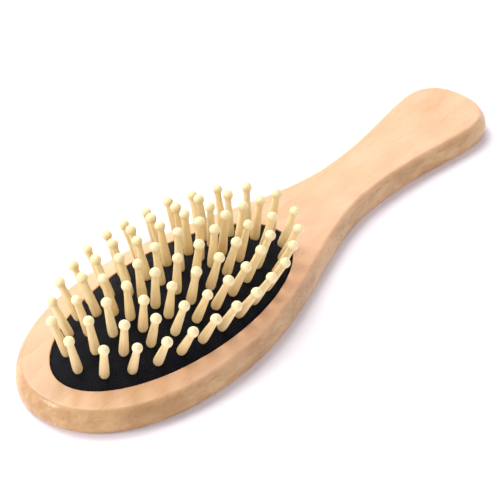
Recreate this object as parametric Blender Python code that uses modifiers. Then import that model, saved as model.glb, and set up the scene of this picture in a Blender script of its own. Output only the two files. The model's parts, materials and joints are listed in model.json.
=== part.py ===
"""Oval cushion hair brush: a wooden body with a domed, cloth-faced rubber cushion full of wooden pins.

Metres. +X runs from the head's tip to the handle's end, +Z is the way the pins stand, and the
origin is on the flat back, under the middle of the whole length.
"""
import math

import bmesh
import bpy
from mathutils import Matrix, Vector

# Wooden body, measured along X from the head's tip.
HEAD_TIP = 0.055  # tip to the widest place of the head
HEAD_WIDTH = 0.0676
TAPER = 0.099  # widest place of the head to the neck
NECK_WIDTH = 0.0234
GRIP = 0.0505  # neck to the widest place of the grip
GRIP_WIDTH = 0.0327
GRIP_END = 0.0155  # widest place of the grip to the handle's end
BOARD = 0.009  # thickness of the board
EDGE_RADIUS = 0.0025
TIP_FULLNESS = 2.15  # 2 is a true ellipse, more is fuller
END_FULLNESS = 2.3
TAPER_SKEW = 1.12  # above 1 keeps the head broad for longer
GRIP_SKEW = 1.35

# Oval opening, with the groove that holds the cushion's flange.
OPENING_LENGTH = 0.1036
OPENING_WIDTH = 0.0504
RIM_FRONT = 0.0105  # head's tip to the opening
FLOOR = 0.002  # wood left under the pocket
LIP = 0.0025  # wood over the groove
GROOVE_HEIGHT = 0.0025
GROOVE_DEPTH = 0.002

# Cushion: the cloth's upper surface is the dome that the pins stand on.
DOME_RISE = 0.0092  # from the cloth's edge to its crown
EDGE_DROP = 0.0006  # the cloth's edge lies this far under the board's face
CLOTH = 0.0007
RUBBER = 0.0015
NECK_WALL = 0.0017  # rubber wall that passes the lip
GAP = 0.0003  # between pieces that touch

# Pins, measured along their own axis from the cloth.
PIN_REACH = 0.014  # cloth to the ball's centre
BALL_RADIUS = 0.0018
NECK_RADIUS = 0.00105
NECK_BELOW_BALL = 0.0016
SHAFT_RADIUS = 0.00165
FLANGE_LIP = 0.0004  # the foot's flange, wider than the shaft by this
FLANGE = 0.001
SPLAY_LONG = 0.78  # lean, as a share of the dome's own slope
SPLAY_ACROSS = 0.95

# Layout: ovals one inside the other, pins evenly spaced along each.
EDGE_ALONG = 0.0050  # opening's end to the outermost oval
EDGE_ACROSS = 0.0041
INNER_HALF_WIDTH = 0.0034  # half width of the innermost oval
OVAL_STEP = 0.0055  # least distance between ovals, across the head
OVAL_STEP_ALONG = 0.0082
PIN_PITCH = 0.00845  # along the outermost oval
PITCH_GROWTH = 0.00045  # more for each oval further in
PINS_FORWARD = 0.0015  # middle of the ovals, this much nearer the handle than the opening's
CROWDING = 0.0065  # of an oval's way round, by which its side pins stand nearer the handle
PIN_OBJECTS = 57  # pins of the outer ovals are made in pairs until no more objects than this are left
BRIDGE_WIDTH = 0.0012  # hidden bar between the flanges of a pair
BRIDGE_SHARE = 0.8  # its height, as a share of the flange's

# Facets.
OVAL_SIDES = 36
PIN_SIDES = 6
DOME_SHARES = (0.3, 0.58, 0.82)  # rings of the dome, as shares of the opening
TIP_STEPS = 9
TAPER_STEPS = 11
GRIP_STEPS = 7
END_STEPS = 7

LENGTH = HEAD_TIP + TAPER + GRIP + GRIP_END
HALF_LONG = OPENING_LENGTH / 2
HALF_ACROSS = OPENING_WIDTH / 2
OPENING_X = RIM_FRONT + HALF_LONG - LENGTH / 2
FLANGE_TOP = -(CLOTH + GAP + RUBBER + GAP)
FLANGE_RADIUS = SHAFT_RADIUS + FLANGE_LIP
BRIDGE_HEIGHT = BRIDGE_SHARE * FLANGE

COLOURS = {
    "beech": ((0.80, 0.56, 0.36, 1), 0.38),
    "pin_wood": ((0.90, 0.72, 0.44, 1), 0.45),
    "rubber": ((0.02, 0.02, 0.02, 1), 0.7),
    "woven_cloth": ((0.012, 0.013, 0.018, 1), 0.85),
}


def clear_scene():
    for old in list(bpy.data.objects):
        bpy.data.objects.remove(old, do_unlink=True)


def new_collection(name):
    collection = bpy.data.collections.new(name)
    bpy.context.scene.collection.children.link(collection)
    return collection


def make_material(name):
    colour, roughness = COLOURS[name]
    material = bpy.data.materials.new(name)
    material.use_nodes = True
    material.diffuse_color = colour
    shader = material.node_tree.nodes["Principled BSDF"]
    shader.inputs["Base Color"].default_value = colour
    shader.inputs["Roughness"].default_value = roughness
    shader.inputs["Metallic"].default_value = 0.0
    return material


def add_object(name, mesh, collection, material=None, parent=None, matrix=None):
    obj = bpy.data.objects.new(name, mesh)
    collection.objects.link(obj)
    if material and not mesh.materials:
        mesh.materials.append(material)
    obj.parent = parent
    obj.matrix_local = matrix or Matrix.Identity(4)
    return obj


def hide_helper(obj):
    obj.hide_render = True
    obj.display_type = "WIRE"


def smooth_step(t):
    return t * t * (3 - 2 * t)


def quarter(length, half_width, fullness, steps):
    """Distance from the tip and half width, from the tip to the widest place."""
    points = []
    for k in range(steps + 1):
        angle = math.pi / 2 * k / steps
        along = length * (1 - math.cos(angle) ** (2 / fullness))
        points.append((along, half_width * math.sin(angle) ** (2 / fullness)))
    return points


def blend_widths(length, start, end, skew, steps):
    """Half widths that run smoothly from start to end, both ends square to the width."""
    points = []
    for k in range(1, steps):
        t = k / steps
        points.append((length * t, start + (end - start) * smooth_step(t**skew)))
    return points


def body_outline():
    """The board seen from above: the +Y side from tip to end, then back along the -Y side."""
    tip = quarter(HEAD_TIP, HEAD_WIDTH / 2, TIP_FULLNESS, TIP_STEPS)
    taper = blend_widths(TAPER, HEAD_WIDTH / 2, NECK_WIDTH / 2, TAPER_SKEW, TAPER_STEPS)
    grip = blend_widths(GRIP, NECK_WIDTH / 2, GRIP_WIDTH / 2, GRIP_SKEW, GRIP_STEPS)
    end = quarter(GRIP_END, GRIP_WIDTH / 2, END_FULLNESS, END_STEPS)
    side = list(tip)
    side += [(HEAD_TIP + x, y) for x, y in taper]
    side.append((HEAD_TIP + TAPER, NECK_WIDTH / 2))
    side += [(HEAD_TIP + TAPER + x, y) for x, y in grip]
    side += [(LENGTH - x, y) for x, y in reversed(end)]
    there = [(x - LENGTH / 2, y) for x, y in side]
    back = [(x, -y) for x, y in reversed(there[1:-1])]
    return there + back


def mesh_from_curve(curve_object, name):
    """Welded mesh of a curve object, which is then removed."""
    bpy.context.view_layer.update()
    evaluated = curve_object.evaluated_get(bpy.context.evaluated_depsgraph_get())
    mesh = bpy.data.meshes.new_from_object(evaluated)
    mesh.name = name
    bm = bmesh.new()
    bm.from_mesh(mesh)
    bmesh.ops.remove_doubles(bm, verts=bm.verts, dist=1e-5)
    bm.to_mesh(mesh)
    bm.free()
    bpy.data.objects.remove(curve_object, do_unlink=True)
    return mesh


def board_mesh(collection):
    """The flat outline, extruded, with both edges rounded."""
    curve = bpy.data.curves.new("board_outline", "CURVE")
    curve.dimensions = "2D"
    curve.fill_mode = "BOTH"
    curve.extrude = BOARD / 2 - EDGE_RADIUS
    curve.bevel_depth = EDGE_RADIUS
    curve.bevel_resolution = 2
    curve.offset = -EDGE_RADIUS
    outline = body_outline()
    spline = curve.splines.new("POLY")
    spline.points.add(len(outline) - 1)
    for point, (x, y) in zip(spline.points, outline):
        point.co = (x, y, 0, 1)
    spline.use_cyclic_u = True
    curve_object = bpy.data.objects.new("board_outline", curve)
    collection.objects.link(curve_object)
    return mesh_from_curve(curve_object, "wooden_body")


def oval_cutter(name, grow, low, high, collection):
    """Upright oval block, this much bigger all round than the opening."""
    bpy.ops.mesh.primitive_cylinder_add(vertices=OVAL_SIDES, radius=1, depth=1)
    made = bpy.context.object
    mesh = made.data
    bpy.data.objects.remove(made, do_unlink=True)
    mesh.transform(Matrix.Rotation(math.pi / 2, 4, "Z"))
    mesh.transform(Matrix.Diagonal((HALF_LONG + grow, HALF_ACROSS + grow, high - low, 1)))
    place = Matrix.Translation((OPENING_X, 0, (low + high) / 2))
    cutter = add_object(name, mesh, collection, matrix=place)
    hide_helper(cutter)
    return cutter


def boolean(obj, other, operation):
    modifier = obj.modifiers.new(other.name, "BOOLEAN")
    modifier.operation = operation
    modifier.object = other


def make_body(parts, cutters, material):
    place = Matrix.Translation((0, 0, BOARD / 2))
    body = add_object("wooden_body", board_mesh(cutters), parts, material, matrix=place)
    groove_low = BOARD - LIP - GROOVE_HEIGHT
    pocket = oval_cutter("pocket_cutter", 0, FLOOR, 2 * BOARD, cutters)
    groove = oval_cutter("groove_cutter", GROOVE_DEPTH, groove_low, BOARD - LIP, cutters)
    boolean(body, pocket, "DIFFERENCE")
    boolean(body, groove, "DIFFERENCE")


def dome(x, y):
    """Height of the cloth's upper surface over the board's face."""
    share = (x / HALF_LONG) ** 2 + (y / HALF_ACROSS) ** 2
    return DOME_RISE * (1 - share) - EDGE_DROP


def pin_frame(x, y):
    """The pin's place on the dome, with its own Z along the pin."""
    lean_x = SPLAY_LONG * 2 * DOME_RISE * x / HALF_LONG**2
    lean_y = SPLAY_ACROSS * 2 * DOME_RISE * y / HALF_ACROSS**2
    axis = Vector((lean_x, lean_y, 1)).normalized()
    turn = Vector((0, 0, 1)).rotation_difference(axis).to_matrix().to_4x4()
    return Matrix.Translation((x, y, dome(x, y))) @ turn


def oval_points(half_long, half_across, count):
    """Points at equal distances along an oval, from its handle end round."""
    fine = 720
    ring = []
    for k in range(fine + 1):
        angle = 2 * math.pi * k / fine
        ring.append(Vector((half_long * math.cos(angle), half_across * math.sin(angle))))
    travelled = [0.0]
    for before, after in zip(ring, ring[1:]):
        travelled.append(travelled[-1] + (after - before).length)
    points = []
    k = 0
    for n in range(count):
        goal = travelled[-1] * (n / count - CROWDING * math.sin(2 * math.pi * n / count))
        while travelled[k + 1] < goal:
            k += 1
        share = (goal - travelled[k]) / (travelled[k + 1] - travelled[k])
        points.append(ring[k].lerp(ring[k + 1], share) + Vector((PINS_FORWARD, 0)))
    return points, travelled[-1]


def pin_ovals():
    """Every oval's pin places, outermost first."""
    room = HALF_ACROSS - EDGE_ACROSS - INNER_HALF_WIDTH
    steps = int(room / OVAL_STEP + 0.01)
    ovals = []
    for k in range(steps + 1):
        half_long = HALF_LONG - EDGE_ALONG - k * OVAL_STEP_ALONG
        half_across = HALF_ACROSS - EDGE_ACROSS - k * room / steps
        _, around = oval_points(half_long, half_across, 1)
        pairs = round(around / (PIN_PITCH + k * PITCH_GROWTH) / 2)
        places, _ = oval_points(half_long, half_across, 2 * pairs)
        ovals.append(places)
    return ovals


def ovals_in_pairs(ovals):
    """How many of the outer ovals have their pins made two by two."""
    paired = 0
    objects = sum(len(places) for places in ovals)
    while objects > PIN_OBJECTS:
        objects -= len(ovals[paired]) // 2
        paired += 1
    return paired


def pin_profile():
    """Half outline of a turned pin, from the top of its ball down to its foot."""
    foot = FLANGE_TOP - FLANGE
    ball_edge = BALL_RADIUS * math.sqrt(0.5)
    return [
        (0, PIN_REACH + BALL_RADIUS),
        (ball_edge, PIN_REACH + ball_edge),
        (BALL_RADIUS, PIN_REACH),
        (NECK_RADIUS, PIN_REACH - NECK_BELOW_BALL),
        (SHAFT_RADIUS, FLANGE_TOP),
        (FLANGE_RADIUS, FLANGE_TOP),
        (FLANGE_RADIUS, foot),
        (0, foot),
    ]


def pin_mesh():
    profile = pin_profile()
    mesh = bpy.data.meshes.new("pin")
    edges = [(k, k + 1) for k in range(len(profile) - 1)]
    mesh.from_pydata([(r, 0, z) for r, z in profile], edges, [])
    return mesh


def add_pin(name, mesh, collection, material, parent, matrix):
    pin = add_object(name, mesh, collection, material, parent, matrix)
    turned = pin.modifiers.new("turned", "SCREW")
    turned.steps = PIN_SIDES
    turned.render_steps = PIN_SIDES
    turned.use_merge_vertices = True
    turned.merge_threshold = 1e-6
    return pin


def add_bridge(name, start, end, collection, parent):
    """Bar from one flange's middle to the other's."""
    bm = bmesh.new()
    bmesh.ops.create_cube(bm, size=1)
    span = end - start
    bmesh.ops.scale(bm, vec=(BRIDGE_WIDTH, BRIDGE_HEIGHT, span.length), verts=bm.verts)
    mesh = bpy.data.meshes.new(name)
    bm.to_mesh(mesh)
    bm.free()
    turn = span.to_track_quat("Z", "Y").to_matrix().to_4x4()
    matrix = Matrix.Translation((start + end) / 2) @ turn
    return add_object(name, mesh, collection, parent=parent, matrix=matrix)


def flange_middle(frame):
    return frame @ Vector((0, 0, FLANGE_TOP - FLANGE / 2))


def make_pins(ovals, parts, helpers, material, parent):
    mesh = pin_mesh()
    paired = ovals_in_pairs(ovals)
    for ring, places in enumerate(ovals):
        frames = [pin_frame(x, y) for x, y in places]
        stem = f"oval_{ring + 1}_pin"
        if ring >= paired:
            for k, frame in enumerate(frames):
                add_pin(f"{stem}_{k + 1:02d}", mesh, parts, material, parent, frame)
            continue
        for k in range(0, len(frames), 2):
            name = f"{stem}s_{k + 1:02d}_{k + 2:02d}"
            pin = add_pin(name, mesh, parts, material, parent, frames[k])
            mate = add_pin(f"{name}_mate", mesh, helpers, material, parent, frames[k + 1])
            ends = [flange_middle(frame) for frame in frames[k : k + 2]]
            bridge = add_bridge(f"{name}_bridge", *ends, helpers, parent)
            for helper in (bridge, mate):
                hide_helper(helper)
                boolean(pin, helper, "UNION")


def oval_loft(name, rings):
    """Closed skin through ovals given as (half length, half width, height); one of no size is a point."""
    bm = bmesh.new()
    loops = []
    for half_long, half_across, height in rings:
        if half_long == 0:
            loops.append([bm.verts.new((0, 0, height))])
            continue
        loop = []
        for k in range(OVAL_SIDES):
            angle = 2 * math.pi * k / OVAL_SIDES
            corner = (half_long * math.cos(angle), half_across * math.sin(angle), height)
            loop.append(bm.verts.new(corner))
        loops.append(loop)
    for upper, lower in zip(loops, loops[1:]):
        for k in range(OVAL_SIDES):
            after = (k + 1) % OVAL_SIDES
            if len(upper) == 1:
                bm.faces.new((upper[0], lower[k], lower[after]))
            elif len(lower) == 1:
                bm.faces.new((upper[after], upper[k], lower[0]))
            else:
                bm.faces.new((upper[after], upper[k], lower[k], lower[after]))
    bmesh.ops.recalc_face_normals(bm, faces=bm.faces)
    mesh = bpy.data.meshes.new(name)
    bm.to_mesh(mesh)
    bm.free()
    return mesh


def dome_rings(below, inset):
    """Crown and rings of a surface this far below the cloth's, out to this far inside the opening."""
    rings = [(0, 0, dome(0, 0) - below)]
    for share in DOME_SHARES:
        height = dome(share * HALF_LONG, 0) - below
        rings.append((share * HALF_LONG, share * HALF_ACROSS, height))
    edge = dome(0, HALF_ACROSS - inset) - below
    rings.append((HALF_LONG - inset, HALF_ACROSS - inset, edge))
    return rings


def cloth_mesh():
    top = dome_rings(0, GAP)
    under = dome_rings(CLOTH, GAP)
    return oval_loft("cloth_facing", top + under[::-1])


def rubber_mesh():
    """Dome, neck past the lip, and the flange in the groove; open below."""
    below = CLOTH + GAP
    top = dome_rings(below, GAP)
    inner = GAP + NECK_WALL
    under = dome_rings(below + RUBBER, inner)
    flange_high = -LIP - GAP
    flange_low = -LIP - GROOVE_HEIGHT + GAP
    neck = (HALF_LONG - GAP, HALF_ACROSS - GAP)
    flange = (HALF_LONG + GROOVE_DEPTH - GAP, HALF_ACROSS + GROOVE_DEPTH - GAP)
    mouth = (HALF_LONG - inner, HALF_ACROSS - inner)
    side = [
        (*neck, flange_high),
        (*flange, flange_high),
        (*flange, flange_low),
        (*mouth, flange_low),
    ]
    return oval_loft("rubber_cushion", top + side + under[::-1])


def hole_cutter(ovals, collection, parent):
    """A prism round every pin, a gap wider than its shaft."""
    radius = SHAFT_RADIUS + GAP / math.cos(math.pi / PIN_SIDES)
    high = CLOTH + GAP + RUBBER
    low = FLANGE_TOP - FLANGE
    bm = bmesh.new()
    for places in ovals:
        for x, y in places:
            middle = Matrix.Translation((0, 0, (high + low) / 2))
            turn = Matrix.Rotation(math.pi / 2, 4, "Z")
            bmesh.ops.create_cone(
                bm,
                cap_ends=True,
                segments=PIN_SIDES,
                radius1=radius,
                radius2=radius,
                depth=high - low,
                matrix=pin_frame(x, y) @ middle @ turn,
            )
    mesh = bpy.data.meshes.new("pin_holes")
    bm.to_mesh(mesh)
    bm.free()
    cutter = add_object("pin_holes", mesh, collection, parent=parent)
    hide_helper(cutter)
    return cutter


def make_cushion(ovals, parts, cutters, materials, parent):
    holes = hole_cutter(ovals, cutters, parent)
    cloth = add_object("cloth_facing", cloth_mesh(), parts, materials["woven_cloth"], parent)
    rubber = add_object("rubber_cushion", rubber_mesh(), parts, materials["rubber"], parent)
    for layer in (cloth, rubber):
        boolean(layer, holes, "DIFFERENCE")


def main():
    clear_scene()
    parts = new_collection("cushion_brush")
    cutters = new_collection("cutters")
    materials = {name: make_material(name) for name in COLOURS}
    ovals = pin_ovals()
    make_body(parts, cutters, materials["beech"])
    cushion_place = bpy.data.objects.new("cushion_place", None)
    cushion_place.location = (OPENING_X, 0, BOARD)
    parts.objects.link(cushion_place)
    make_cushion(ovals, parts, cutters, materials, cushion_place)
    make_pins(ovals, parts, cutters, materials["pin_wood"], cushion_place)


main()
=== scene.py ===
# %% [markdown]
# # An oval cushion hair brush in wood, cloth and rubber
#
# The real brush is a flat beech board with an oval pocket routed in its head. A rubber dome
# snaps into a groove in that pocket, a dark woven cloth covers the dome, and seventy turned
# wooden pins pass through both and stand out like a fan.
# This lesson takes the measured model as its frame and builds the pieces that show, one by one.

# %% Load the frame
import json
import math
import random

import bmesh
import bpy
from mathutils import Matrix, Vector, noise


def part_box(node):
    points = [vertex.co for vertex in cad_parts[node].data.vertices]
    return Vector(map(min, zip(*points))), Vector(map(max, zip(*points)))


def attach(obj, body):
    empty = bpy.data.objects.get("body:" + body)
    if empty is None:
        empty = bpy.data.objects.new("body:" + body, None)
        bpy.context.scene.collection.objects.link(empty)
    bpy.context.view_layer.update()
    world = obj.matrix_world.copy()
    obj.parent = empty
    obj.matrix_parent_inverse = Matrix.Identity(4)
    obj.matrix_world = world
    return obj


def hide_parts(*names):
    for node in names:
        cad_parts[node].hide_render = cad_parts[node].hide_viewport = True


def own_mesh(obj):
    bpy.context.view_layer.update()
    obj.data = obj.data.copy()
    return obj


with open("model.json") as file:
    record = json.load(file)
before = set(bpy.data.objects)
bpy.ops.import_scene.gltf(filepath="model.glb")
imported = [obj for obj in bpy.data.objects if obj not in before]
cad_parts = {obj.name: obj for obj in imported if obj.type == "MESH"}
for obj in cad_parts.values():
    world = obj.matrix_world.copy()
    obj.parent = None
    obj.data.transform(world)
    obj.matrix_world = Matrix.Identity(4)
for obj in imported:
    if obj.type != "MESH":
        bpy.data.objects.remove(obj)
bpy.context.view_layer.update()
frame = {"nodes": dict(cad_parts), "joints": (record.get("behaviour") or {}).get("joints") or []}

# %% [markdown]
# ## Camera
#
# The brush is seen from above its near edge, from the tip of the head, with the handle going
# away to the upper right. A long lens from most of a metre away keeps the far end of the
# handle almost as large as the head, as a studio picture of a small object does.

# %% Camera
CAMERA_AZIMUTH = math.radians(40.008)  # the way it looks, from +X towards +Y
CAMERA_DROP = math.radians(37.842)
CAMERA_AIM = Vector((-0.001635, 0.006882, 0))
CAMERA_DISTANCE = 0.88
CAMERA_LENS = 188.59

looking = Vector((math.cos(CAMERA_AZIMUTH), math.sin(CAMERA_AZIMUTH), 0)) * math.cos(CAMERA_DROP)
looking.z = -math.sin(CAMERA_DROP)
camera = bpy.data.objects.new("camera", bpy.data.cameras.new("camera"))
bpy.context.scene.collection.objects.link(camera)
camera.data.lens = CAMERA_LENS
camera.data.sensor_width = 36
camera.data.clip_start = 0.01
camera.location = CAMERA_AIM - looking * CAMERA_DISTANCE
camera.rotation_mode = "QUATERNION"
camera.rotation_quaternion = looking.to_track_quat("-Z", "Y")
bpy.context.scene.camera = camera
bpy.context.scene.view_settings.view_transform = "Standard"
print("camera", [round(v, 3) for v in camera.location])

# %% [markdown]
# ## Light
#
# The light is that of a white studio table: light from all round, one large soft lamp above
# and behind the brush on the left, and a smaller, weaker one lower down on the left that
# lifts the near side. Both are area lights, because only a large lamp gives a shadow with a
# soft edge. The directions are worked out from the camera's own left and back, so that they
# read as a photographer would say them.

# %% Light
screen_left = Vector((-math.sin(CAMERA_AZIMUTH), math.cos(CAMERA_AZIMUTH), 0))
screen_away = Vector((math.cos(CAMERA_AZIMUTH), math.sin(CAMERA_AZIMUTH), 0))
UP = Vector((0, 0, 1))


def add_lamp(name, direction, distance, size, power, colour):
    lamp = bpy.data.objects.new(name, bpy.data.lights.new(name, "AREA"))
    bpy.context.scene.collection.objects.link(lamp)
    lamp.data.size = size
    lamp.data.energy = power
    lamp.data.color = colour
    lamp.location = direction.normalized() * distance
    lamp.rotation_mode = "QUATERNION"
    lamp.rotation_quaternion = (-direction).to_track_quat("-Z", "Y")
    return lamp


from_behind = screen_left * 0.62 + screen_away * 0.72 + UP * 1.6
from_the_left = screen_left * 1.0 - screen_away * 0.45 + UP * 0.60
WARM, NEUTRAL = (1.0, 0.968, 0.935), (1.0, 0.985, 0.96)
key = add_lamp("key_lamp", from_behind, distance=0.95, size=0.80, power=10.9, colour=WARM)
fill = add_lamp("fill_lamp", from_the_left, distance=1.2, size=0.36, power=5.4, colour=NEUTRAL)
world = bpy.data.worlds.new("studio")
world.use_nodes = True
light_all_round = world.node_tree.nodes["Background"]
light_all_round.inputs["Color"].default_value = (0.90, 0.98, 1.0, 1)
light_all_round.inputs["Strength"].default_value = 0.42
bpy.context.scene.world = world
print("lamps", key.name, fill.name)

# %% [markdown]
# ## A small language for finishes
#
# Each finish is a node tree. Written as nodes and links it can't be read, so two small
# classes let it be written as sums: a Number wraps one socket and answers to + - * / and **,
# and a Finish makes any other node from its type, its settings and what goes into its sockets.

# %% Numbers that vary over a surface
class Number:
    """One output socket, with arithmetic."""

    def __init__(self, finish, socket):
        self.finish = finish
        self.socket = socket

    def math(self, operation, *inputs):
        sockets = dict(enumerate(inputs))
        return self.finish.node("ShaderNodeMath", {"operation": operation}, sockets)

    def __add__(self, other):
        return self.math("ADD", self, other)

    def __sub__(self, other):
        return self.math("SUBTRACT", self, other)

    def __rsub__(self, other):
        return self.math("SUBTRACT", other, self)

    def __mul__(self, other):
        return self.math("MULTIPLY", self, other)

    def __truediv__(self, other):
        return self.math("DIVIDE", self, other)

    def __rtruediv__(self, other):
        return self.math("DIVIDE", other, self)

    def __abs__(self):
        return self.math("ABSOLUTE", self)

    def __pow__(self, power):
        return self.math("POWER", self, power)

    def sine(self):
        return self.math("SINE", self)

    __radd__ = __add__
    __rmul__ = __mul__


# %% Finishes
class Finish:
    """A material, and the nodes behind its shader."""

    def __init__(self, name):
        self.material = bpy.data.materials.new(name)
        self.material.use_nodes = True
        self.tree = self.material.node_tree
        self.shader = self.tree.nodes["Principled BSDF"]

    def node(self, kind, settings=None, sockets=None, output=0):
        made = self.tree.nodes.new(kind)
        for name, value in (settings or {}).items():
            setattr(made, name, value)
        self.connect(made, sockets or {})
        return Number(self, made.outputs[output])

    def connect(self, made, sockets):
        for name, value in sockets.items():
            if isinstance(value, Number):
                self.tree.links.new(value.socket, made.inputs[name])
            else:
                made.inputs[name].default_value = value

    def show(self, **sockets):
        """What the surface shows: Base_Color stands for the socket Base Color."""
        self.connect(self.shader, {k.replace("_", " "): v for k, v in sockets.items()})
        print("finish", self.material.name, len(self.tree.nodes), "nodes")
        return self.material


# %% Patterns that the finishes share
def paint(red, green, blue):
    """A colour given as a screen shows it, from 0 to 255, as the light that it stands for."""
    light = []
    for part in (red, green, blue):
        part /= 255
        light.append(part / 12.92 if part <= 0.04045 else ((part + 0.055) / 1.055) ** 2.4)
    return (*light, 1)


def place_on(finish, kind="Object"):
    return finish.node("ShaderNodeTexCoord", output={"Object": 3, "Normal": 1}[kind])


def speckle(finish, place, size, detail=2.0, roughness=0.5):
    """Noise whose lumps are about size = (x, y, z) across, in metres."""
    spread = finish.node("ShaderNodeVectorMath", {"operation": "DIVIDE"}, {0: place, 1: size})
    sockets = {"Vector": spread, "Scale": 1.0, "Detail": detail, "Roughness": roughness}
    return finish.node("ShaderNodeTexNoise", {}, sockets)


def between(finish, value, low, high):
    """0 below low, 1 above high, and a smooth change between."""
    sockets = {"Value": value, "From Min": low, "From Max": high}
    return finish.node("ShaderNodeMapRange", {"interpolation_type": "SMOOTHSTEP"}, sockets)


def blend(finish, amount, first, second):
    """The first colour where amount is 0, the second where it is 1."""
    return finish.node("ShaderNodeMix", {"data_type": "RGBA"}, {0: amount, 6: first, 7: second}, 2)


def relief(finish, height):
    """Bump from a height in metres."""
    sockets = {"Height": height, "Distance": 1.0, "Strength": 1.0}
    return finish.node("ShaderNodeBump", {}, sockets)


def parts_of(finish, vector):
    """The three numbers of a vector."""
    made = finish.node("ShaderNodeSeparateXYZ", {}, {0: vector}).socket.node
    return [Number(finish, socket) for socket in made.outputs]


print("patterns ready")

# %% [markdown]
# ## Floor
#
# A white table under a white sweep. A plain white surface never reaches full white in the
# picture without burning out the brush, so the sweep gives a little light of its own: almost
# none near the brush, where the shadow is the part that the lamps don't reach, and more
# further out, so that it stays white up to its low walls. Its tint is the faint violet that a
# shadow on white paper has under a warm lamp.

# %% Floor
FLOOR_REACH = 3.0
WALL_HEIGHT = 0.6
UNDER_THE_BRUSH = -0.00005  # so that the floor and the board's back never share a plane
floor_mesh = bpy.data.meshes.new("floor")
around = ((-1, -1), (1, -1), (1, 1), (-1, 1))
corners = [(x * FLOOR_REACH, y * FLOOR_REACH, z) for z in (0, WALL_HEIGHT) for x, y in around]
walls = [(k, 4 + k, 4 + (k + 1) % 4, (k + 1) % 4) for k in range(4)]
floor_mesh.from_pydata(corners, [], [(0, 1, 2, 3)] + walls)
floor = bpy.data.objects.new("floor", floor_mesh)
floor.location.z = UNDER_THE_BRUSH
bpy.context.scene.collection.objects.link(floor)
white_table = Finish("white_table")
table_x, table_y, _ = parts_of(white_table, place_on(white_table))
from_brush = (table_x * table_x + table_y * table_y) ** 0.5
DIM, BRIGHT = (0.10, 0.10, 0.10, 1), (0.72, 0.72, 0.72, 1)
own_light = blend(white_table, between(white_table, from_brush, 0.30, 0.75), DIM, BRIGHT)
floor_mesh.materials.append(
    white_table.show(
        Base_Color=(0.96, 0.91, 1.0, 1),
        Roughness=0.9,
        Specular_IOR_Level=0.0,
        Emission_Color=own_light,
        Emission_Strength=1.0,
    )
)
print("floor", 2 * FLOOR_REACH, "m")

# %% [markdown]
# ## Sizes
#
# Whatever the frame can say is read from it: the board's box gives its length, width and
# thickness, and the cloth's box gives the opening and the height of the dome. The few sizes
# that a box can't give are named here, as the measured model names them.

# %% Sizes of the board
board_low, board_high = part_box("wooden_body")
LENGTH = board_high.x - board_low.x
HEAD_WIDTH = board_high.y - board_low.y
BOARD = board_high.z
HEAD_TIP = 0.055
TAPER = 0.099
NECK_WIDTH = 0.0234
GRIP = 0.0505
GRIP_WIDTH = 0.0327
GRIP_END = LENGTH - HEAD_TIP - TAPER - GRIP
TIP_FULLNESS = 2.15
END_FULLNESS = 2.3
TAPER_SKEW = 1.12
GRIP_SKEW = 1.35
print("board", round(1000 * LENGTH, 1), round(1000 * HEAD_WIDTH, 1), round(1000 * BOARD, 1), "mm")

# %% Sizes of the opening and the cushion
GAP = 0.0003
cloth_low, cloth_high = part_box("cloth_facing")
HALF_LONG = (cloth_high.x - cloth_low.x) / 2 + GAP
HALF_ACROSS = (cloth_high.y - cloth_low.y) / 2 + GAP
OPENING = Vector(((cloth_high.x + cloth_low.x) / 2, 0, BOARD))
EDGE_DROP = 0.0006
DOME_RISE = cloth_high.z - BOARD + EDGE_DROP
CLOTH = 0.0007
RUBBER = 0.0015
NECK_WALL = 0.0017
POCKET_FLOOR = 0.002
LIP = 0.0025
GROOVE_HEIGHT = 0.0025
GROOVE_DEPTH = 0.002
print("opening", round(2000 * HALF_LONG, 1), "x", round(2000 * HALF_ACROSS, 1), "mm")
print("rise of the dome", round(1000 * DOME_RISE, 2), "mm")

# %% [markdown]
# ## The board's outline
#
# The head is a full oval, the neck draws in with one long curve, and the handle swells and
# closes in a blunt round. The tip and the end are quarter superellipses, which a maker would
# draw as slightly square ovals, and the curves between them are smooth steps. A real board
# is sanded by hand, so a slow noise moves the outline by a tenth of a millimetre.

# %% Outline
def smooth_step(t):
    return t * t * (3 - 2 * t)


def quarter(length, half_width, fullness, steps):
    """Distance from the tip and half width, from the tip to the widest place."""
    points = []
    for k in range(steps + 1):
        angle = math.pi / 2 * k / steps
        along = length * (1 - max(0.0, math.cos(angle)) ** (2 / fullness))
        points.append((along, half_width * math.sin(angle) ** (2 / fullness)))
    return points


def widths(length, start, end, skew, steps):
    """Half widths that run smoothly from start to end."""
    shares = [k / steps for k in range(1, steps)]
    return [(length * t, start + (end - start) * smooth_step(t**skew)) for t in shares]


def board_outline():
    """Points round the board, 1.5 to 2 mm apart, from the tip along +Y and back along -Y."""
    side = quarter(HEAD_TIP, HEAD_WIDTH / 2, TIP_FULLNESS, 44)
    for x, y in widths(TAPER, HEAD_WIDTH / 2, NECK_WIDTH / 2, TAPER_SKEW, 60):
        side.append((HEAD_TIP + x, y))
    side.append((HEAD_TIP + TAPER, NECK_WIDTH / 2))
    for x, y in widths(GRIP, NECK_WIDTH / 2, GRIP_WIDTH / 2, GRIP_SKEW, 30):
        side.append((HEAD_TIP + TAPER + x, y))
    for x, y in reversed(quarter(GRIP_END, GRIP_WIDTH / 2, END_FULLNESS, 26)):
        side.append((LENGTH - x, y))
    there = [Vector((x - LENGTH / 2, y)) for x, y in side]
    return there + [Vector((p.x, -p.y)) for p in reversed(there[1:-1])]


def outward(points):
    """The outward direction at each point of a closed outline that runs clockwise."""
    found = []
    for k in range(len(points)):
        along = points[(k + 1) % len(points)] - points[k - 1]
        found.append(Vector((-along.y, along.x)).normalized())
    return found


outline = board_outline()
directions = outward(outline)
SANDING = 0.00012
for point, direction in zip(outline, directions):
    point += direction * SANDING * noise.noise(Vector((point.x, point.y, 0)) * 60)
print("outline", len(outline), "points")

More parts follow.
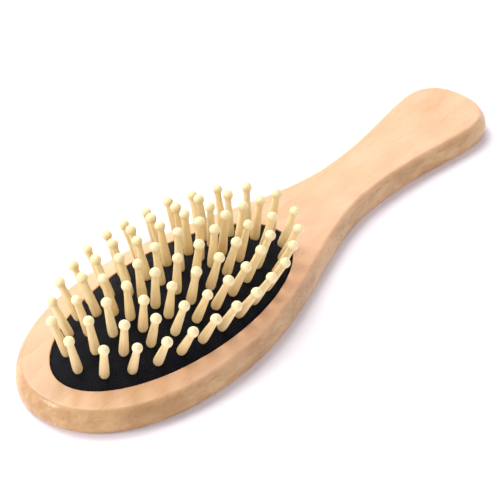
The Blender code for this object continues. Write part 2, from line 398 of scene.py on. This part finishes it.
# %% [markdown]
# ## The board
#
# A plank is cut out, its edges are rounded with a router, and the pocket is milled. The mesh
# follows that: rings round the outline make the rounded edge, oval rings go down into the
# pocket and out into the groove, and the flat faces are filled between them, so the flats
# stay truly flat and only the rounded parts have many faces. Weighted normals keep the
# flats from shading as if they were round.

# %% Rings of the board
OVAL_STEPS = 180
LIP_RADIUS = 0.00045
ROUGH_LIP = 0.00007


def edge_ring(inset, height):
    return [Vector((*(p - d * inset), height)) for p, d in zip(outline, directions)]


def oval_ring(grow, height, steps=OVAL_STEPS, rough=0.0):
    """An oval this much bigger than the opening, at this height over the board's face."""
    ring = []
    for k in range(steps):
        angle = -2 * math.pi * k / steps
        more = grow + rough * noise.noise(Vector((k * 0.9, grow * 9000, 3)))
        x = (HALF_LONG + more) * math.cos(angle)
        y = (HALF_ACROSS + more) * math.sin(angle)
        ring.append(OPENING + Vector((x, y, height)))
    return ring


def arc(radius, steps, start, end):
    """(sideways, up) of points on a quarter round."""
    turns = [math.radians(start + (end - start) * k / steps) for k in range(steps + 1)]
    return [(radius * math.cos(t), radius * math.sin(t)) for t in turns]


# How far in from the widest line, and how high, as shares of the board's thickness: flat under,
# well rounded up to the side, then one long curve that meets the face in a sanded line.
EDGE_PROFILE = (
    *((0.30, 0.0), (0.20, 0.010), (0.12, 0.045), (0.06, 0.105), (0.02, 0.19), (0.003, 0.28)),
    *((0.0, 0.37), (0.0, 0.46), (0.006, 0.55), (0.022, 0.64), (0.052, 0.73), (0.098, 0.82)),
    *((0.155, 0.90), (0.215, 0.962), (0.25, 0.986), (0.285, 0.997), (0.32, 1.0)),
)
outer_rings = [edge_ring(inset * BOARD, height * BOARD) for inset, height in EDGE_PROFILE]
groove_top, groove_floor = -LIP, -LIP - GROOVE_HEIGHT
rounded_lip = arc(LIP_RADIUS, 4, 90, 0)
inner_rings = [oval_ring(LIP_RADIUS - s, u - LIP_RADIUS, rough=ROUGH_LIP) for s, u in rounded_lip]
groove_and_pocket = [(0, groove_top), (GROOVE_DEPTH, groove_top)]
groove_and_pocket += [(GROOVE_DEPTH, groove_floor), (0, groove_floor), (0, POCKET_FLOOR - BOARD)]
for grow, height in groove_and_pocket:
    inner_rings.append(oval_ring(grow, height))
print("rings", len(outer_rings), "outside", len(inner_rings), "inside")

# %% Board mesh
def add_rings(bm, rings):
    loops = [[bm.verts.new(p) for p in ring] for ring in rings]
    for low, high in zip(loops, loops[1:]):
        for k in range(len(low)):
            after = (k + 1) % len(low)
            bm.faces.new((low[k], low[after], high[after], high[k]))
    return loops


def loop_edges(bm, loop):
    return [bm.edges.get((loop[k - 1], loop[k])) for k in range(len(loop))]


def finish_mesh(bm, name, smooth=True):
    bmesh.ops.recalc_face_normals(bm, faces=bm.faces)
    for face in bm.faces:
        face.smooth = smooth
    mesh = bpy.data.meshes.new(name)
    bm.to_mesh(mesh)
    bm.free()
    return mesh


def add_piece(name, mesh, material, matrix=None):
    piece = bpy.data.objects.new(name, mesh)
    bpy.context.scene.collection.objects.link(piece)
    piece.matrix_world = matrix or Matrix.Identity(4)
    mesh.materials.append(material)
    return piece


bm = bmesh.new()
outer_loops = add_rings(bm, outer_rings)
inner_loops = add_rings(bm, inner_rings)
back = loop_edges(bm, outer_loops[0])
face_with_opening = loop_edges(bm, outer_loops[-1]) + loop_edges(bm, inner_loops[0])
pocket_floor = loop_edges(bm, inner_loops[-1])
for edges in (back, face_with_opening, pocket_floor):
    bmesh.ops.triangle_fill(bm, edges=edges, use_beauty=True)
for edge in loop_edges(bm, outer_loops[0]):
    edge.smooth = False
board_mesh = finish_mesh(bm, "board")
print("board", len(board_mesh.polygons), "faces")

# %% [markdown]
# ## Beech
#
# Varnished beech is pale and pinkish, with growth rings that show as faint broad bands along
# the board, fine fibres, and many short dark flecks. The pattern is solid: it is worked out
# in the wood's own block, so rings and fibres run through the board and come out on its
# sides where they should. Where the surface turns away from the face, the fibres are cut
# across, the varnish sinks in, and the streaks are stronger; there the wood is darker, partly
# from the cut fibres and partly as painted shade, for sides that face away from the light
# from above. The face is painted darker towards the tip of the head too: painted shade, where
# the light falls off.

# %% Beech finish
def beech_finish():
    wood = Finish("varnished_beech")
    place = place_on(wood)
    wander = speckle(wood, place, (0.09, 0.018, 0.018), 2.0)
    x, y, z = parts_of(wood, place)
    from_pith_y = y + 0.021
    from_pith_z = z + 0.055
    from_pith = (from_pith_y * from_pith_y + from_pith_z * from_pith_z) ** 0.5
    return wood, place, (x, y, z), from_pith + wander * 0.016


def ring_bands(wood, from_pith, ring_width=0.0052):
    """0 in the pale early wood, rising to 1 at the end of each ring."""
    within = wood.node("ShaderNodeMath", {"operation": "FRACT"}, {0: from_pith / ring_width})
    return between(wood, within, 0.35, 0.95) * (1 - between(wood, within, 0.95, 1.0))


wood, wood_place, wood_xyz, from_pith = beech_finish()
late_wood = ring_bands(wood, from_pith)
print("rings of the beech")

# %% Flecks, fibres and edges of the beech
fibres = speckle(wood, wood_place, (0.012, 0.00035, 0.00035), 3.0, 0.6)
cloudy = speckle(wood, wood_place, (0.016, 0.007, 0.007), 3.0, 0.55)
fleck_lumps = speckle(wood, wood_place, (0.0042, 0.00042, 0.00042), 1.0)
fleck_crowds = speckle(wood, wood_place, (0.02, 0.006, 0.006), 1.0)
flecks = between(wood, fleck_lumps + (fleck_crowds - 0.5) * 0.5, 0.64, 0.73)
streaks = between(wood, speckle(wood, wood_place, (0.007, 0.0007, 0.0007), 2.0, 0.6), 0.54, 0.70)
_, _, facing_up = parts_of(wood, place_on(wood, "Normal"))
turned_away = 1 - between(wood, abs(facing_up), 0.35, 0.97)
end_grain = speckle(wood, wood_place, (0.0009, 0.0006, 0.0006), 2.0)

# Painted shade: the face is darkened towards the tip of the head, where the light falls off.
painted_shade_to_tip = 1 - between(wood, wood_xyz[0], -0.128, -0.03)
face_colour = blend(wood, between(wood, cloudy, 0.3, 0.7), paint(231, 181, 144), paint(241, 193, 158))
face_colour = blend(wood, painted_shade_to_tip, face_colour, paint(184, 143, 98))
face_colour = blend(wood, late_wood * 0.34, face_colour, paint(226, 172, 124))
face_colour = blend(wood, between(wood, fibres, 0.4, 0.75) * 0.22, face_colour, paint(214, 160, 112))
# The sides' darker colour is partly the cut fibres' own and partly painted shade, for sides that face
# away from the light from above.
side_colour = blend(wood, between(wood, cloudy, 0.35, 0.65), paint(180, 134, 80), paint(209, 167, 114))
side_colour = blend(wood, between(wood, end_grain, 0.5, 0.75) * 0.35, side_colour, paint(176, 116, 66))
wood_colour = blend(wood, turned_away, face_colour, side_colour)
wood_colour = blend(wood, streaks * (0.08 + turned_away * 0.38), wood_colour, paint(172, 116, 58))
wood_colour = blend(wood, flecks * (0.14 + turned_away * 0.12), wood_colour, paint(142, 88, 48))
print("colours of the beech")

# %% Surface of the beech
waviness = speckle(wood, wood_place, (0.02, 0.012, 0.006), 1.0)
wood_height = waviness * 0.00022 * turned_away + fibres * 0.000016 - flecks * 0.00003
beech = wood.show(
    Base_Color=wood_colour,
    Roughness=0.36 + fibres * 0.14 + flecks * 0.15,
    Normal=relief(wood, wood_height),
    Coat_Weight=0.40,
    Coat_Roughness=0.16,
)
board = add_piece("board", board_mesh, beech)
weighted = board.modifiers.new("flats_stay_flat", "WEIGHTED_NORMAL")
weighted.keep_sharp = True
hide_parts("wooden_body")
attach(board, "body")

# %% [markdown]
# ## Where the pins stand
#
# The pins stand on ovals, one inside the other, at equal steps along each. Every pin leans
# outward with the slope of the dome, so the pins fan out. The rule is the measured model's
# own, so that each finished pin falls on its plain one.

# %% Pin layout
EDGE_ALONG = 0.0050
EDGE_ACROSS = 0.0041
INNER_HALF_WIDTH = 0.0034
OVAL_STEP_ALONG = 0.0082
PINS_ON_OVALS = (26, 20, 14, 10)
PINS_FORWARD = 0.0015  # middle of the ovals, nearer the handle than the opening's
CROWDING = 0.0065  # share of the way round by which side pins stand nearer the handle
SPLAY_LONG = 0.78
SPLAY_ACROSS = 0.95


def dome(x, y):
    """Height of the cloth over the board's face, x and y from the opening's middle."""
    share = (x / HALF_LONG) ** 2 + (y / HALF_ACROSS) ** 2
    return DOME_RISE * (1 - share) - EDGE_DROP


def pin_frame(x, y):
    """The pin's place on the dome, with its own Z along the pin."""
    lean_x = SPLAY_LONG * 2 * DOME_RISE * x / HALF_LONG**2
    lean_y = SPLAY_ACROSS * 2 * DOME_RISE * y / HALF_ACROSS**2
    axis = Vector((lean_x, lean_y, 1)).normalized()
    turn = UP.rotation_difference(axis).to_matrix().to_4x4()
    return Matrix.Translation(OPENING + Vector((x, y, dome(x, y)))) @ turn


def oval_places(half_long, half_across, count):
    """Points at equal distances along an oval, from its handle end round."""
    fine = 720
    turns = [2 * math.pi * k / fine for k in range(fine + 1)]
    ring = [Vector((half_long * math.cos(t), half_across * math.sin(t))) for t in turns]
    travelled = [0.0]
    for before, after in zip(ring, ring[1:]):
        travelled.append(travelled[-1] + (after - before).length)
    places, k = [], 0
    for n in range(count):
        goal = travelled[-1] * (n / count - CROWDING * math.sin(2 * math.pi * n / count))
        while travelled[k + 1] < goal:
            k += 1
        share = (goal - travelled[k]) / (travelled[k + 1] - travelled[k])
        places.append(ring[k].lerp(ring[k + 1], share) + Vector((PINS_FORWARD, 0)))
    return places


pin_places = []
for k, count in enumerate(PINS_ON_OVALS):
    share = k / (len(PINS_ON_OVALS) - 1)
    half_across = (HALF_ACROSS - EDGE_ACROSS) * (1 - share) + INNER_HALF_WIDTH * share
    half_long = HALF_LONG - EDGE_ALONG - k * OVAL_STEP_ALONG
    pin_places.append(oval_places(half_long, half_across, count))
print("pins", sum(len(places) for places in pin_places))

# %% [markdown]
# ## Rubber cushion
#
# The dome is moulded rubber, about a millimetre and a half thick, with a neck that passes
# the wooden lip and a flange that sits in the groove. Only a thin line of it shows at the
# edge of the cloth, but its mesh is the whole moulding: one closed skin through oval rings.

# %% Rubber cushion mesh
DOME_SHARES = [k / 12 for k in range(1, 12)]
MOULDING_STEPS = 96


def dome_rings(below, inset, shares, steps=MOULDING_STEPS):
    """Crown and rings of a surface this far below the cloth's, out to this inset."""
    rings = [[OPENING + Vector((0, 0, dome(0, 0) - below))]]
    for share in shares + [1]:
        long, across = share * (HALF_LONG - inset), share * (HALF_ACROSS - inset)
        turns = [2 * math.pi * k / steps for k in range(steps)]
        spots = [(long * math.cos(t), across * math.sin(t)) for t in turns]
        rings.append([OPENING + Vector((x, y, dome(x, y) - below)) for x, y in spots])
    return rings


def closed_skin(name, rings):
    """A skin through rings; the first and the last ring are single points."""
    bm = bmesh.new()
    first, last = bm.verts.new(rings[0][0]), bm.verts.new(rings[-1][0])
    loops = add_rings(bm, rings[1:-1])
    for k in range(len(loops[0])):
        bm.faces.new((first, loops[0][k - 1], loops[0][k]))
        bm.faces.new((last, loops[-1][k], loops[-1][k - 1]))
    return finish_mesh(bm, name)


rubber_top = CLOTH + GAP
inside = GAP + NECK_WALL
moulding = dome_rings(rubber_top, GAP, DOME_SHARES)
flange_top, flange_bottom, flange_edge = groove_top - GAP, groove_floor + GAP, GROOVE_DEPTH - GAP
neck_and_flange = [(-GAP, flange_top), (flange_edge, flange_top)]
neck_and_flange += [(flange_edge, flange_bottom), (-inside, flange_bottom)]
for grow, height in neck_and_flange:
    ring = oval_ring(grow, height, MOULDING_STEPS)
    moulding.append(ring[:1] + ring[:0:-1])  # the dome's rings run the other way round
moulding += dome_rings(rubber_top + RUBBER, inside, DOME_SHARES)[::-1]
rubber_mesh = closed_skin("rubber_cushion_skin", moulding)
print("rubber", len(rubber_mesh.polygons), "faces")

# %% Rubber finish
black_rubber = Finish("black_rubber")
rubber_place = place_on(black_rubber)
bloom = speckle(black_rubber, rubber_place, (0.006, 0.006, 0.006), 3.0)
skin = speckle(black_rubber, rubber_place, (0.0003, 0.0003, 0.0003), 2.0)
rubber = black_rubber.show(
    Base_Color=blend(black_rubber, bloom, paint(18, 18, 20), paint(34, 33, 35)),
    Roughness=0.55 + bloom * 0.25,
    Normal=relief(black_rubber, skin * 0.00002),
)
cushion = add_piece("cushion", rubber_mesh, rubber)
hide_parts("rubber_cushion")
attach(cushion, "cushion")

# %% [markdown]
# ## Cloth facing
#
# A plain-woven cloth is bonded over the rubber. It dips a little round each pin, because the
# pin pulls it in, and its cut edge is tucked down between the rubber and the wood. The dips
# are modelled in the mesh; the weave is far finer than a mesh should be, so it is a finish.

# %% Cloth mesh
CLOTH_RINGS = 84
CLOTH_STEPS = 256
DIP = 0.00038
DIP_REACH = 0.0021
all_places = [place for places in pin_places for place in places]


def dipped(point):
    """The same point of the cloth, drawn in by the pins near it and a little uneven."""
    x, y = point.x - OPENING.x, point.y
    drawn = 0.0
    for place in all_places:
        away = ((x - place.x) ** 2 + (y - place.y) ** 2) / DIP_REACH**2
        if away < 6:
            drawn += DIP * (math.exp(-away) * 1.5 - math.exp(-away / 3) * 0.5)
    uneven = 0.00009 * noise.noise(Vector((x, y, 0)) * 260)
    return Vector((point.x, point.y, point.z - drawn + uneven))


shares = [k / CLOTH_RINGS for k in range(1, CLOTH_RINGS)]
face = [[dipped(p) for p in ring] for ring in dome_rings(0, GAP, shares, CLOTH_STEPS)]
under = dome_rings(CLOTH, GAP + 0.0001, shares[6::13], CLOTH_STEPS)
cloth_mesh = closed_skin("cloth_skin", face + under[::-1])
print("cloth", len(cloth_mesh.polygons), "faces")

# %% [markdown]
# The weave is made from two sets of waves. Where the product of the two slow waves is
# positive the warp lies on top, elsewhere the weft does, which is exactly what a plain weave
# is. The colour follows as painted light: the crowns of the threads are painted lighter, a
# painted highlight, and the gaps are painted black, as painted shade.

# %% Cloth finish
THREAD = 0.0008  # from one thread to the next


def weave(cloth, place):
    """1 on the crown of the thread on top, 0 in the gaps."""
    bend = speckle(cloth, place, (0.004, 0.004, 0.004), 1.0) * 0.00035
    x, y, _ = parts_of(cloth, place)
    warp = ((x + bend) * (math.pi / THREAD)).sine()
    weft = ((y + bend) * (math.pi / THREAD)).sine()
    warp_on_top = between(cloth, warp * weft, -0.12, 0.12)
    return abs(warp) * (1 - warp_on_top) + abs(weft) * warp_on_top


navy = Finish("navy_plain_weave")
cloth_place = place_on(navy)
crowns = weave(navy, cloth_place)
lint = between(navy, speckle(navy, cloth_place, (0.0016, 0.0003, 0.0016), 2.0), 0.66, 0.8)
wear_and_sheen = speckle(navy, cloth_place, (0.009, 0.009, 0.009), 2.0)
# Painted highlight on the thread crowns and painted shade in the gaps; slow patches, partly wear, vary
# the highlight.
weave_colour_and_sheen = blend(navy, crowns * crowns * (0.40 + wear_and_sheen), paint(1, 1, 2), paint(34, 35, 43))
weave_colour_and_sheen = blend(navy, lint * 0.12, weave_colour_and_sheen, paint(70, 70, 82))
woven = navy.show(
    Base_Color=weave_colour_and_sheen,
    Roughness=0.82 + crowns * 0.1,
    Normal=relief(navy, crowns * 0.00022),
    Specular_IOR_Level=0.12,
)
facing = add_piece("cloth", cloth_mesh, woven)
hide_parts("cloth_facing")
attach(facing, "cushion")

# %% [markdown]
# ## Pins
#
# Each pin is turned on a lathe: a ball, a narrow neck just under it, a shaft that widens all
# the way down to the cloth, and below the cloth a foot with a flange that the rubber grips.
# Turning is spinning an outline round a line, so the mesh is made the same way. No two turned
# pins are alike, so each gets its own length, ball and neck from a seeded draw.

# %% Outline of a pin
PIN_REACH = 0.014
BALL_RADIUS = 0.0018
NECK_RADIUS = 0.00118
SHAFT_RADIUS = 0.00165
FOOT_TOP = -(CLOTH + GAP + RUBBER + GAP)
FLANGE_RADIUS = SHAFT_RADIUS + 0.0004
FLANGE = 0.001
FLANGE_EDGE = 0.00012


def pin_outline(reach, ball, neck):
    """(radius, height) from the top of the ball to the foot."""
    angles = [math.radians(v) for v in (0, 12, 25, 38, 52, 66, 80, 94, 108, 122, 134)]
    turned = [(ball * math.sin(t), reach + ball * math.cos(t)) for t in angles]
    below = reach - ball
    turned += [(neck * 1.06, below + 0.00030), (neck, below), (neck * 1.005, below - 0.0006)]
    for k in range(1, 8):
        t = k / 8
        height = (below - 0.0006) * (1 - t) + 0.0008 * t
        swelling = 0.25 * t + 0.75 * smooth_step(t) ** 0.85
        turned.append((neck + (SHAFT_RADIUS - neck) * swelling, height))
    foot = ((1, 0.0008), (0.985, 0.00045), (0.93, 0.00015), (0.88, -0.0001), (0.86, FOOT_TOP))
    turned += [(SHAFT_RADIUS * share, height) for share, height in foot]
    foot_end, eased = FOOT_TOP - FLANGE, FLANGE_RADIUS - FLANGE_EDGE
    turned += [(eased, FOOT_TOP), (FLANGE_RADIUS, FOOT_TOP - FLANGE_EDGE)]
    turned += [(FLANGE_RADIUS, foot_end + FLANGE_EDGE), (eased, foot_end), (0, foot_end)]
    return turned


print("outline of a pin", len(pin_outline(PIN_REACH, BALL_RADIUS, NECK_RADIUS)), "points")

# %% Pin mesh
PIN_SIDES = 24


def turned_mesh(name, profile, out_of_round):
    """The outline spun round Z; out_of_round squeezes one side, as dry wood shrinks."""
    rings = []
    for radius, height in profile:
        if radius == 0:
            rings.append([Vector((0, 0, height))])
            continue
        turns = [2 * math.pi * k / PIN_SIDES for k in range(PIN_SIDES)]
        spots = [(radius * math.cos(t) * out_of_round, radius * math.sin(t)) for t in turns]
        rings.append([Vector((x, y, height)) for x, y in spots])
    return closed_skin(name, rings)


def add_tone(mesh, tone):
    """One number on every corner point of a mesh, for its finish to read."""
    layer = mesh.attributes.new("tone", "FLOAT", "POINT")
    layer.data.foreach_set("value", [tone] * len(mesh.vertices))


# %% [markdown]
# ## Pin wood
#
# The pins are of a paler, yellower wood than the board, smooth and barely waxed. Fibres run
# along the shaft, so the ball's top is end grain: it drinks more wax and shows a dot and a
# faint ring where the lathe's centre held it. Towards the foot each pin is painted a little
# darker: painted shade, near the cloth where the pins stand close together.

# %% Pin finish
turned_wood = Finish("turned_pin_wood")
pin_place = place_on(turned_wood)
_, _, pin_height = parts_of(turned_wood, pin_place)
tone = turned_wood.node("ShaderNodeAttribute", {"attribute_name": "tone"}, {}, 2)
shifted = turned_wood.node("ShaderNodeVectorMath", {"operation": "ADD"}, {0: pin_place, 1: tone})
grain = speckle(turned_wood, shifted, (0.0005, 0.0005, 0.009), 3.0, 0.6)
tint = speckle(turned_wood, shifted, (0.0022, 0.0022, 0.006), 2.0)
flattened = {0: pin_place, 1: (1, 1, 0)}
across = turned_wood.node("ShaderNodeVectorMath", {"operation": "MULTIPLY"}, flattened)
from_axis = turned_wood.node("ShaderNodeVectorMath", {"operation": "LENGTH"}, {0: across}, 1)
on_ball = between(turned_wood, pin_height, 0.0118, 0.0135)
on_top = between(turned_wood, pin_height, 0.0152, 0.0157)
dot = on_top * (1 - between(turned_wood, from_axis, 0.00012, 0.00035))
ring_inside = between(turned_wood, from_axis, 0.0007, 0.0009)
ring_outside = between(turned_wood, from_axis, 0.001, 0.0012)
ring = on_top * ring_inside * (1 - ring_outside)
print("patterns of the pins")

# %% Colours and surface of the pins
shaft_colour = blend(turned_wood, tint, paint(250, 224, 166), paint(255, 243, 200))
dark_grain = between(turned_wood, grain, 0.45, 0.75)
shaft_colour = blend(turned_wood, dark_grain * 0.36, shaft_colour, paint(204, 154, 86))
shaft_colour = blend(turned_wood, tone * 0.36, shaft_colour, paint(238, 194, 124))
# Painted shade: each pin darkens over its lowest 9 mm, near the cloth.
painted_foot_shade = 1 - between(turned_wood, pin_height, 0.0, 0.009)
shaft_colour = blend(turned_wood, painted_foot_shade * 0.22, shaft_colour, paint(220, 176, 108))
ball_colour = blend(turned_wood, tint, paint(248, 224, 168), paint(254, 236, 194))
pin_colour = blend(turned_wood, on_ball, shaft_colour, ball_colour)
pin_colour = blend(turned_wood, dot * 0.6 + ring * 0.16, pin_colour, paint(168, 120, 62))
pin_wood = turned_wood.show(
    Base_Color=pin_colour,
    Roughness=0.44 + grain * 0.2,
    Normal=relief(turned_wood, grain * 0.00002),
    Coat_Weight=0.12,
    Coat_Roughness=0.3,
)

# %% Make the pins
PIN_LEAN_SPREAD = math.radians(1.6)
draw = random.Random(70)
cad_pins = {name for name in frame["nodes"] if name.startswith("oval_")}


def cad_pin(oval, number):
    """The plain node that holds this pin: its own, or the one it shares with its neighbour."""
    alone = f"oval_{oval}_pin_{number:02d}"
    first = number - 1 + number % 2
    return alone if alone in cad_pins else f"oval_{oval}_pins_{first:02d}_{first + 1:02d}"


def add_pin(oval, number, place):
    """A pin of its own length, ball, neck, tone and lean, on the body of its plain node."""
    name = f"pin_{oval}_{number:02d}"
    reach = PIN_REACH * (1 + draw.uniform(-0.02, 0.02))
    ball = BALL_RADIUS * draw.uniform(0.96, 1.03)
    neck = NECK_RADIUS * draw.uniform(0.94, 1.08)
    mesh = turned_mesh(name + "_skin", pin_outline(reach, ball, neck), draw.uniform(0.97, 1.0))
    add_tone(mesh, draw.random())
    lean_x = Matrix.Rotation(draw.uniform(-1, 1) * PIN_LEAN_SPREAD, 4, "X")
    lean_y = Matrix.Rotation(draw.uniform(-1, 1) * PIN_LEAN_SPREAD, 4, "Y")
    spin = Matrix.Rotation(draw.uniform(0, 2 * math.pi), 4, "Z")
    stands = pin_frame(place.x, place.y) @ (lean_x @ lean_y) @ spin
    pin = add_piece(name, mesh, pin_wood, stands)
    node = cad_pin(oval, number)
    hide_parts(node)
    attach(pin, node)
    return pin


pins = []
for oval, places in enumerate(pin_places, 1):
    pins += [add_pin(oval, number, place) for number, place in enumerate(places, 1)]
print("pins", len(pins), "faces each", len(pins[0].data.polygons))

# %% [markdown]
# ## Soft pieces
#
# When the cushion is pressed, cloth and rubber flatten while their edge stays in the groove.
# The slide carries the pins and both crowns straight down. Here each soft piece gets a mesh
# of its own, and the share of its height over its rim that it would keep under the full press
# is worked out; nothing is flattened.

# %% What the soft pieces measure, and a mesh of its own for each
press = next(joint for joint in frame["joints"] if joint["name"] == "cushion_press")
PRESS = press["range_m"][1]
crown = cloth_high.z
heights = ((facing, crown, BOARD - EDGE_DROP), (cushion, crown - rubber_top, BOARD - LIP))
for piece, top, rim in heights:
    keep = 1 - PRESS / (top - rim)
    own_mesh(piece)
print("press", round(1000 * PRESS, 2), "mm")
